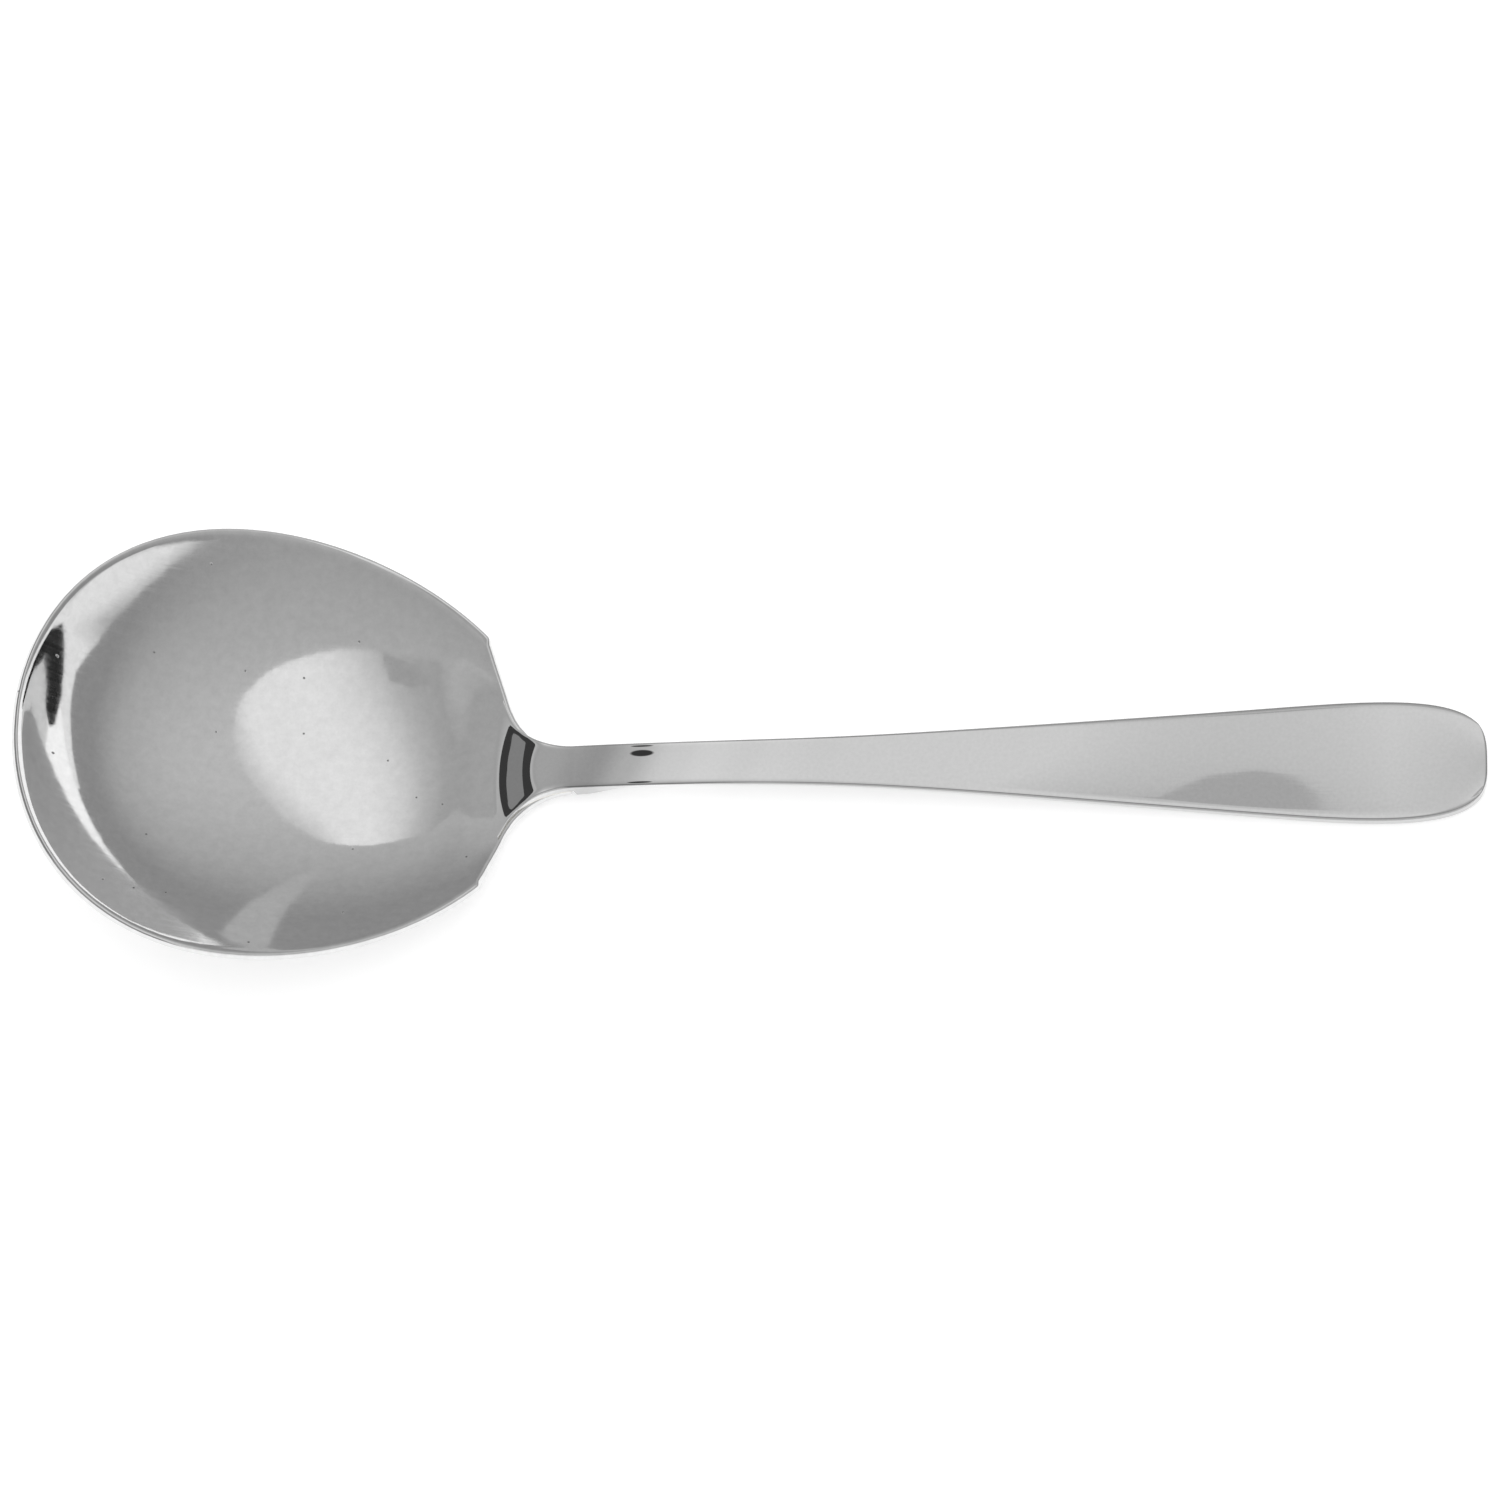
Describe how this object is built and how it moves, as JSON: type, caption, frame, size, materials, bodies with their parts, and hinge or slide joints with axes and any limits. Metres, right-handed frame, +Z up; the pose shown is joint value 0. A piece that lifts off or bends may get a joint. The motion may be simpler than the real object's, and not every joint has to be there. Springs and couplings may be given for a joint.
{
  "type": "casserole spoon",
  "caption": "Wide-bowled metal serving spoon with cut shoulders, a slim neck and a flat handle that widens to a rounded end, for serving casseroles and vegetables.",
  "frame": {"origin": "on the table surface, under the middle of the spoon's length and width", "axes": "+X along the spoon from the tip of the bowl to the end of the handle, +Y across it, +Z up out of the bowl's mouth"},
  "size_m": [0.22, 0.0702, 0.0274],
  "materials": {
    "bowl_steel": "polished",
    "handle_steel": "polished",
    "braze_alloy": "satin"
  },
  "bodies": {
    "root": {"bowl": "bowl_steel", "handle": "handle_steel", "braze_layer": "braze_alloy"}
  },
  "joints": []
}
